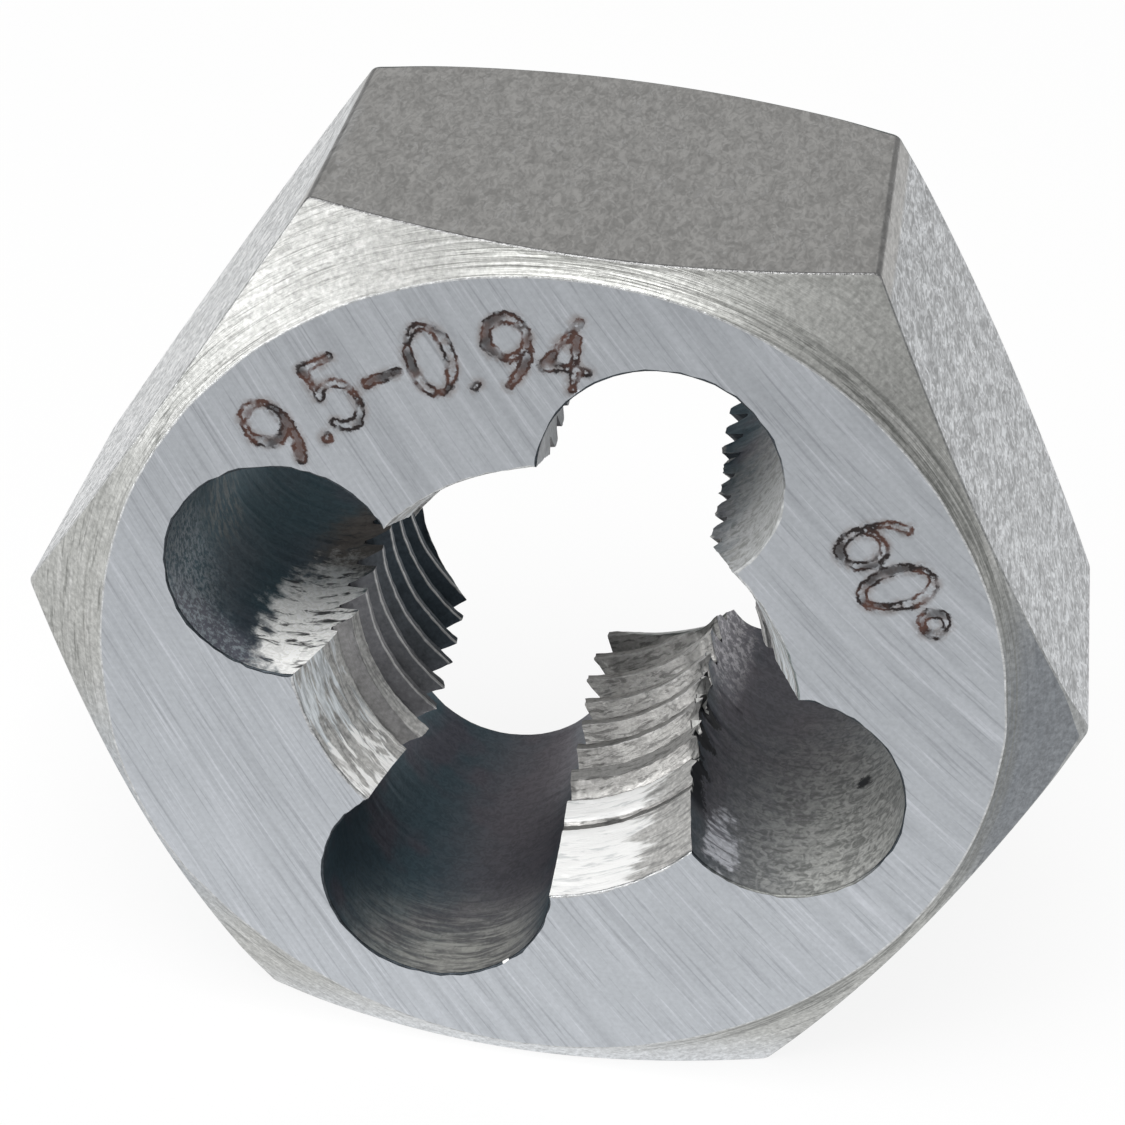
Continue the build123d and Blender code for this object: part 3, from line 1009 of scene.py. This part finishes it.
# Where the finish changes, in mm across, down or in from the face
ROUGH_FROM_ACROSS = (2.25, 2.60)
DULL_ABOVE = (2.56, 2.40)
DULL_FROM = (1.3, 1.8)
FLANK_SHADE_GROWS = (1.4, 2.8)
FLANK_SHADE_DEEPENS = (2.4, 6.5)
TORN_FROM, TORN_TO = (2.7, 2.9), (8.2, 8.0)
BACK_FROM = (4.5, 6.0)
BACK_HIGHLIGHT_FROM = (9.10, 9.22)
FLANKS_LIFT = (2.5, 6.5)
FLANKS_SINK = (7.6, 8.8)
# Which share of a turn of the thread is its crest, rubbed by the bolts it has cut
RUBBED_FROM, RUBBED_TO = (0.375, 0.395), (0.47, 0.45)
tree, shader, place, _, depth = new_steel("land", 0.45)
lead, crest, in_turn = (trait(tree, name) for name in ("lead_in", "crest", "turn_share"))
# The lowest land is the only one that catches the light
lowest = fade(tree, trait(tree, "shade"), 0.5, 1.0)
others = fade(tree, trait(tree, "shade"), 1.0, 0.5)
streak = streaked(tree, place, 0.10, 0.8)
tone = cloudy(tree, place, 0.35, 0.22)
speckle = cloudy(tree, place, 0.10, 0.45)
lead_colour = blend(tree, fade(tree, streak, 0.34, 0.46), LEAD_GREY, LEAD_HIGHLIGHT_WHITE)
# Only its lead-in is painted white, a painted highlight of the overhead lamp; its right end and the
# other lands' are dull, and the dull steel ends in tongues that follow the cut
parts = split(tree, place)
tongues = calculate(tree, "SUBTRACT", streaked(tree, place, 0.22, 1.4), 0.5)
dull = fade(tree, calculate(tree, "MULTIPLY_ADD", tongues, 2.4, parts[1]), *DULL_ABOVE)
lead_blue = shade(tree, LEAD_BLUE, fade(tree, streak, 0.34, 0.64, 0.70, 1.26))
lead_colour = blend(tree, dull, lead_colour, lead_blue)
uneven = calculate(tree, "MULTIPLY_ADD", tongues, 2.2, parts[0])
uneven = fade(tree, uneven, *ROUGH_FROM_ACROSS, 0.0, 0.9)
uneven = product(tree, uneven, calculate(tree, "SUBTRACT", 1.0, dull))
lead_rough = shade(tree, LEAD_ROUGH, speckle, speckle, fade(tree, streak, 0.34, 0.56, 0.60, 1.12))
lead_colour = blend(tree, uneven, lead_colour, lead_rough)
# Off the lowest land the cut is streaked, and duller from its first groove on
streaky = product(tree, others, fade(tree, tongues, 0.04, -0.04, 0.0, 0.9))
deeper = product(tree, others, fade(tree, depth, *DULL_FROM, 0.0, 0.9))
lead_colour = blend(tree, largest(tree, streaky, deeper), lead_colour, lead_rough)
back_colour = blend(tree, lowest, BACK_DARK, BACK_GREEN)
# A painted highlight along the lowest land's last crest at the back face
rim_highlight = product(tree, fade(tree, depth, *BACK_HIGHLIGHT_FROM), lowest)
back_colour = blend(tree, rim_highlight, back_colour, BACK_RIM_HIGHLIGHT)
lead_colour = blend(tree, fade(tree, depth, *BACK_FROM), lead_colour, back_colour)
# Off the lowest land the flanks carry painted shade, darker the deeper they lie in the bore
shaded_flank = blend(tree, fade(tree, depth, *FLANK_SHADE_GROWS), FLANK_SHADE_FRONT, FLANK_SHADE_MIDDLE)
shaded_flank = blend(tree, fade(tree, depth, *FLANK_SHADE_DEEPENS), shaded_flank, FLANK_SHADE_DEEP)
# The lowest land's flanks get painted light that grows into the middle depths and beside the roots,
# and painted shade at the back, and are cracked across
lifted = fade(tree, depth, *FLANKS_LIFT, 1.0, 1.45)
lifted = product(tree, lifted, fade(tree, depth, *FLANKS_SINK, 1.0, 0.62))
lifted = product(tree, lifted, fade(tree, crest, 0.08, 0.42, 1.9, 1.0))
crack = fade(tree, streaked(tree, place, 0.06, 0.45), 0.50, 0.37, 1.0, 0.52)
flank = blend(tree, others, shade(tree, FLANK_GREY, lifted, crack), shaded_flank)
# Painted shade in the thread roots, where the grooves lie in shadow
root = product(tree, fade(tree, crest, 0.07, 0.02), fade(tree, lead, -0.05, -0.28, 0.25, 1.0))
flank = blend(tree, root, flank, ROOT_PAINTED_SHADE)
rubbed = product(tree, fade(tree, in_turn, *RUBBED_FROM), fade(tree, in_turn, *RUBBED_TO))
rubbed = product(tree, rubbed, calculate(tree, "MULTIPLY_ADD", lowest, -0.35, 0.7))
flank = shade(tree, blend(tree, rubbed, flank, CREST_LIGHT), tone, speckle)
# Past its second groove the lowest land's cone is torn like its flanks
torn_cone = product(tree, fade(tree, depth, *TORN_FROM), fade(tree, depth, *TORN_TO), lowest)
lead_colour = blend(tree, torn_cone, lead_colour, shade(tree, TORN_GREY, speckle, crack))
is_lead = fade(tree, lead, 0.0, 0.03)
height = calculate(tree, "MULTIPLY_ADD", speckle, 0.5, streak)
metallic = calculate(tree, "MULTIPLY_ADD", is_lead, -0.80, 1.0)
finish_steel(tree, shader, blend(tree, is_lead, flank, lead_colour), height, 0.018, metallic)

# The flutes' rims are left sharp; their dark colour is painted shade, the self-shadow along each
# rim
RIM_PAINTED_SHADE = (0.06, 0.07, 0.08, 1)
RIM_SPOTS = [
    ("top", SCOURED_LIGHT, ((4.2, -4.2, 0.0), (1.2, 1.5, 0.7))),
    ("right", SPECKLE_DARK, ((6.4, 4.4, 0.0), (2.2, 1.0, 1.0))),
    ("chip", TORN_LIGHT, ((-0.28, 7.26, 0.0), (0.09, 0.09, 0.12)), 0.1, 0.2),
]
tree, shader, place, _, _ = new_steel("rim", 0.5)
speckle = cloudy(tree, place, 0.2, 0.9)
colour, masks = add_spots(tree, place, RIM_PAINTED_SHADE, RIM_SPOTS)
metallic = calculate(tree, "SUBTRACT", 1.0, largest(tree, masks["top"], masks["chip"]))
finish_steel(tree, shader, shade(tree, colour, speckle), speckle, 0.02, metallic)

# The two faces: flat, surface-ground after turning, so fine straight lines cross them.
# The front one carries two plain numbers, burnt shallowly into the steel with a brown rim.
MARK_HEIGHT = 1.5
MARK_WIDTH = 1.34
MARK_BASELINE = 7.12
MARK_STROKE = 0.085
MARK_DEPTH = 0.035
MARK_REACH = 0.34
MARK_GRID = 0.055
MARK_STARTS = {"9.5-0.94": -142.0, "60*": -39.0}
LETTER_GAP = 0.17
# Strokes further away than this, in mm, aren't measured
STROKE_SEARCH = 1.2
CHANNEL_WIDTH = 0.055
MARK_WAVER = 0.035


def arc(cx, cy, rx, ry, start, end, count=22):
    turns = [math.radians(t) for t in spread(start, end, count)]
    return [(cx + rx * math.cos(t), cy + ry * math.sin(t)) for t in turns]


# Each glyph's width, and its strokes on a square one unit high; the star is a degree sign
nine = arc(0.29, 0.70, 0.27, 0.30, 0, 360) + [(0.55, 0.48), (0.47, 0.22), (0.28, 0.0)]
five = [(0.52, 1.0), (0.13, 1.0), (0.08, 0.55)] + arc(0.27, 0.33, 0.28, 0.33, 130, -145)
GLYPHS = {
    "0": (0.60, [arc(0.30, 0.50, 0.28, 0.50, 0, 360, 30)]),
    "4": (0.62, [[(0.44, 0.0), (0.44, 1.0), (0.02, 0.30), (0.62, 0.30)]]),
    "5": (0.58, [five]),
    "6": (0.60, [[(0.60 - x, 1 - y) for x, y in nine]]),
    "9": (0.60, [nine]),
    "-": (0.55, [[(0.02, 0.45), (0.52, 0.45)]]),
    ".": (0.14, [[(0.05, 0.01), (0.09, 0.04)]]),
    "*": (0.36, [arc(0.18, 0.82, 0.15, 0.17, 0, 360)]),
}


def mark_strokes():
    """The strokes of all the numbers, bent round the bore, in the die's millimetres."""
    strokes = []
    for text, start in MARK_STARTS.items():
        along = 0
        for glyph in text:
            width, lines = GLYPHS[glyph]
            for line in lines:
                stroke = []
                for x, y in line:
                    turn = math.radians(start) + (along + x) * MARK_WIDTH / MARK_BASELINE
                    out = MARK_BASELINE + y * MARK_HEIGHT
                    stroke.append(Vector((out * math.cos(turn), out * math.sin(turn))))
                strokes.append(stroke)
            along += width + LETTER_GAP
    return strokes


strokes = mark_strokes()
segments = [(a, b) for stroke in strokes for a, b in zip(stroke, stroke[1:])]


def nearest_stroke(place):
    """How far a place on the face lies from the nearest stroke, or MARK_REACH if further."""
    best = MARK_REACH
    for a, b in segments:
        if abs(place.x - a.x) < STROKE_SEARCH and abs(place.y - a.y) < STROKE_SEARCH:
            span = b - a
            t = clamp((place - a).dot(span) / max(span.length_squared, 1e-9))
            best = min(best, (place - a - span * t).length)
    return best


mark_points = {}
for a, b in segments:
    steps = max(2, int((b - a).length / MARK_GRID))
    for t in spread(0, 1, steps + 1):
        centre = a.lerp(b, t)
        cells = int(MARK_REACH / MARK_GRID)
        column_at, row_at = round(centre.x / MARK_GRID), round(centre.y / MARK_GRID)
        for i in range(column_at - cells, column_at + cells + 1):
            for j in range(row_at - cells, row_at + cells + 1):
                mark_points.setdefault((i, j), None)
marked = []
for i, j in sorted(mark_points):
    place = Vector((i, j)) * MARK_GRID
    place += Vector((rough((i, j, 0), 2.3), rough((i, j, 9), 2.3))) * MARK_GRID * 0.5
    if nearest_stroke(place) < MARK_REACH:
        marked.append(place)


def mark_depth(place):
    """The burnt groove: a low bead in the middle, two ragged channels beside it."""
    near = nearest_stroke(place) + MARK_WAVER * rough((place.x, place.y, 0), 0.12, 6)
    channel = math.exp(-(((near - MARK_STROKE) / CHANNEL_WIDTH) ** 2))
    return MARK_DEPTH * channel * (0.75 + 0.6 * rough((place.x, place.y, 0), 0.3, 2))


def holds(outline, x, y):
    """True where a point lies inside a closed outline."""
    within = False
    for (ax, ay), (bx, by) in zip(outline, outline[1:] + outline[:1]):
        if (ay > y) != (by > y) and x < (bx - ax) * (y - ay) / (by - ay) + ax:
            within = not within
    return within


def fill_face(outer, inner, extra, face_depth):
    """Covers the metal between two loops; the extra points are the numbers' grooves."""
    flat = [points[n].to_2d() for n in outer + inner] + extra
    count, more = len(outer), len(inner)
    ring = [(n, (n + 1) % count) for n in range(count)]
    hole = [(count + n, count + (n + 1) % more) for n in range(more)]
    places, _, triangles, origins, _, _ = delaunay_2d_cdt(flat, ring + hole, [], 0, 1e-6)
    numbers = []
    for place, origin in zip(places, origins):
        known = [n for n in origin if n < count + more]
        if known:
            numbers.append((outer + inner)[known[0]])
        else:
            number = add_points([(place.x, place.y, face_depth + mark_depth(place))])[0]
            traits["mark_distance"][number] = nearest_stroke(place)
            numbers.append(number)
    bore = [tuple(points[n].to_2d()) for n in inner]
    for triangle in triangles:
        middle = sum((places[n] for n in triangle), Vector((0, 0))) / 3
        if not holds(bore, middle.x, middle.y):
            cut = [numbers[n] for n in triangle if numbers[n] in traits["mark_distance"]]
            add_face([numbers[n] for n in triangle], MARK if len(cut) == 3 else FACE)


fill_face(outer_loops[0], front_bore_edge, marked, 0)
fill_face(outer_loops[-1], back_bore_edge, [], THICKNESS)

# Fine straight lines of a grinding wheel or belt, seen as thin light and dark scratches
ground_lines, starts, ends = new_group(
    "ground_lines",
    {"Place": (0, 0, 0), "Turn": 0.0, "Spacing": 0.1, "Length": 5.0},
    {"Lines": "Float"},
)
tree = ground_lines
inputs = {0: starts["Place"], "Angle": starts["Turn"]}
parts = split(tree, add_node(tree, "VectorRotate", inputs, rotation_type="Z_AXIS").outputs[0])
along = calculate(tree, "DIVIDE", parts[0], starts["Length"])
across = calculate(tree, "DIVIDE", parts[1], starts["Spacing"])
tree.links.new(grain(tree, skewed(tree, along, across, 0.0), 1.0, 2.0, 0.65), ends["Lines"])

FACE_GREY = (0.448, 0.470, 0.498, 1)
FACE_LIGHT = (0.57, 0.59, 0.63, 1)
FACE_DARK = (0.33, 0.345, 0.37, 1)
GRINDING_TURN = math.radians(-50.5)
# The grinding lines are not quite straight: how fast they bend, in mm for each mm squared
GRINDING_BEND = 0.024
BURNT_BLACK = (0.035, 0.030, 0.030, 1)
BURNT_BROWN = (0.105, 0.060, 0.050, 1)
BURNT_PALE = (0.22, 0.19, 0.18, 1)
# The tone of the face changes between these places, both across and down
FACE_SPREAD = (-10, 10)


def burn(tree, place, colour):
    """Colours the numbers' grooves: dark ragged lines along both sides, and brown between."""
    distance = trait(tree, "mark_distance")
    uneven = calculate(tree, "SUBTRACT", grain(tree, place, 7.0, 3.0, 0.65), 0.5)
    distance = calculate(tree, "MULTIPLY_ADD", uneven, 0.20, distance)
    heat = fade(tree, grain(tree, place, 1.3, 2.0), 0.44, 0.60)
    burnt = blend(tree, heat, BURNT_BLACK, BURNT_BROWN)
    elsewhere = stretch(tree, place, (1, 1, 1), (7, 3, 0))
    width = fade(tree, grain(tree, elsewhere, 1.4, 1.0), 0.35, 0.65, 0.045, 0.105)
    smudge = fade(tree, grain(tree, place, 3.5, 3.0, 0.7), 0.40, 0.60, 0.0, 0.6)
    smudge = product(tree, fade(tree, distance, 0.27, 0.10), smudge)
    colour = blend(tree, smudge, colour, BURNT_PALE)
    from_line = calculate(tree, "SUBTRACT", distance, width)
    faint = fade(tree, grain(tree, place, 2.4, 2.0, 0.6), 0.36, 0.5, 0.35, 1.0)
    line = product(tree, fade(tree, calculate(tree, "ABSOLUTE", from_line), 0.062, 0.020), faint)
    elsewhere = stretch(tree, place, (1, 1, 1), (1, 9, 0))
    filled = fade(tree, grain(tree, elsewhere, 0.9, 1.0), 0.47, 0.56, 0.0, 0.8)
    fill = product(tree, fade(tree, from_line, 0.01, -0.02), filled)
    return blend(tree, largest(tree, line, fill), colour, burnt)


def ground_steel(finish):
    """The ground face, or the same face where the numbers are burnt in."""
    tree, shader, place, _, _ = new_steel(finish, 0.40)
    parts = split(tree, place)
    bend = product(tree, parts[0], parts[0], GRINDING_BEND)
    bent = join(tree, parts[0], calculate(tree, "ADD", parts[1], bend))
    lines = {"Place": bent, "Turn": GRINDING_TURN}
    fine = use_group(tree, ground_lines, **lines, Spacing=0.075, Length=2.5)["Lines"]
    broad = use_group(tree, ground_lines, **lines, Spacing=0.30, Length=8.0)["Lines"]
    colour = blend(tree, fade(tree, fine, 0.56, 0.70, 0.0, 0.70), FACE_GREY, FACE_LIGHT)
    colour = blend(tree, fade(tree, fine, 0.44, 0.30, 0.0, 0.75), colour, FACE_DARK)
    colour = blend(tree, fade(tree, broad, 0.48, 0.34, 0.0, 0.35), colour, FACE_DARK)
    colour = blend(tree, fade(tree, broad, 0.52, 0.66, 0.0, 0.25), colour, FACE_LIGHT)
    # Painted light and shade: a little darker towards the top and the right
    painted_tilt = fade(tree, parts[1], *FACE_SPREAD, 0.875, 1.14)
    painted_tilt = product(tree, painted_tilt, fade(tree, parts[0], *FACE_SPREAD, 1.04, 0.98))
    fleck = product(tree, cloudy(tree, place, 0.11, 0.15), painted_tilt)
    colour = shade(tree, colour, cloudy(tree, place, 1.6, 0.06), fleck)
    if finish == "mark":
        colour = burn(tree, place, colour)
    height = calculate(tree, "ADD", fine, product(tree, broad, 0.5))
    finish_steel(tree, shader, colour, height, 0.012)


ground_steel("face")
ground_steel("mark")

# The whole die is one piece of steel, so all of its surfaces are one closed mesh. Each
# surface keeps the finish that its own tool left.
SHARP_ANGLE = math.radians(32)
mesh = bpy.data.meshes.new("rethreading_die_body")
mesh.from_pydata([stand(p) for p in points], [], faces)
mesh.polygons.foreach_set("material_index", finishes)
for finish in FINISHES:
    mesh.materials.append(materials[finish])
for name, values in traits.items():
    attribute = mesh.attributes.new(name, "FLOAT", "POINT")
    attribute.data.foreach_set("value", [values.get(n, UNNOTED[name]) for n in range(len(points))])
mesh.validate()
mesh.shade_smooth()
mesh.set_sharp_from_angle(angle=SHARP_ANGLE)
flat_finishes = {FACE, FLAT}
borders = {}
for face in mesh.polygons:
    for edge in face.edge_keys:
        borders.setdefault(edge, set()).add(face.material_index)
for edge in mesh.edges:
    meeting = borders[edge.key]
    if len(meeting) > 1 and meeting & flat_finishes and MARK not in meeting:
        edge.use_edge_sharp = True
mesh.update()
die = bpy.data.objects.new("rethreading_die_body", mesh)
bpy.context.scene.collection.objects.link(die)
print("die faces", len(mesh.polygons), "corners", len(mesh.vertices))
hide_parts("rethreading_die")
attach(die, "root")

# The studio: a white table, a large soft lamp overhead and a weaker one at the left. A
# grey room lights the rest, and the camera looks down on the die at the photo's angle.

# Where the camera stands and how it is turned, as it was fitted to the photo
LENS_LENGTH = 105.3
SENSOR_WIDTH = 36
CAMERA_PLACE = Vector((0.567 * APOTHEM, -5.800 * APOTHEM - THICKNESS / 2, 4.806 * APOTHEM)) * MM
VIEW_RIGHT = Vector((0.98659, 0.14212, 0.08031))
VIEW_UP = Vector((-0.14163, 0.50061, 0.85402))
TABLE_WHITE = (0.95, 0.95, 0.95, 1)
# What the camera and the metal see of the table is nearly pure white, with a light shadow
TABLE_GLOW = 0.86
ROOM_GREY = (0.35, 0.348, 0.344, 1)
scene = bpy.context.scene
scene.view_settings.view_transform = "Standard"

camera_data = bpy.data.cameras.new("camera")
camera_data.lens = LENS_LENGTH
camera_data.sensor_width = SENSOR_WIDTH
camera_data.clip_start = 0.005
camera = bpy.data.objects.new("camera", camera_data)
view_right, view_up = VIEW_RIGHT.normalized(), VIEW_UP.normalized()
view_back = view_right.cross(view_up).normalized()
turned = Matrix((view_right, view_back.cross(view_right), view_back)).transposed().to_4x4()
camera.matrix_world = Matrix.Translation(CAMERA_PLACE) @ turned
scene.collection.objects.link(camera)
scene.camera = camera

bpy.ops.mesh.primitive_plane_add(size=4)
floor = bpy.context.object
floor.name = "floor"
white = bpy.data.materials.new("white_table")
white.use_nodes = True
tree = white.node_tree
paper = tree.nodes["Principled BSDF"]
paper.inputs["Base Color"].default_value = TABLE_WHITE
paper.inputs["Roughness"].default_value = 0.9
paper.inputs["Specular IOR Level"].default_value = 0.1
rays = add_node(tree, "LightPath").outputs
seen = calculate(tree, "ADD", rays["Is Glossy Ray"], rays["Is Transmission Ray"])
seen = calculate(tree, "ADD", rays["Is Camera Ray"], seen, clamped=True)
glow = add_node(tree, "Emission", {"Color": (1, 1, 1, 1), "Strength": 1.0})
shaders = {0: product(tree, seen, TABLE_GLOW), 1: paper.outputs[0], 2: glow.outputs[0]}
mixed = add_node(tree, "MixShader", shaders)
tree.links.new(mixed.outputs[0], tree.nodes["Material Output"].inputs["Surface"])
floor.data.materials.append(white)


def soft_lamp(name, place, aim, size, watts):
    data = bpy.data.lights.new(name, "AREA")
    data.size = size
    data.energy = watts
    lamp = bpy.data.objects.new(name, data)
    lamp.location = place
    lamp.rotation_euler = (Vector(aim) - Vector(place)).to_track_quat("-Z", "Y").to_euler()
    scene.collection.objects.link(lamp)


soft_lamp("overhead_lamp", (-0.03, -0.24, 0.54), aim=(0, 0, 0), size=0.40, watts=2.6)
soft_lamp("left_lamp", (-0.45, -0.34, 0.17), aim=(0, 0, 0.01), size=0.30, watts=1.3)

world = bpy.data.worlds.new("room")
scene.world = world
world.use_nodes = True
background = world.node_tree.nodes["Background"]
background.inputs["Color"].default_value = ROOM_GREY
background.inputs["Strength"].default_value = 1
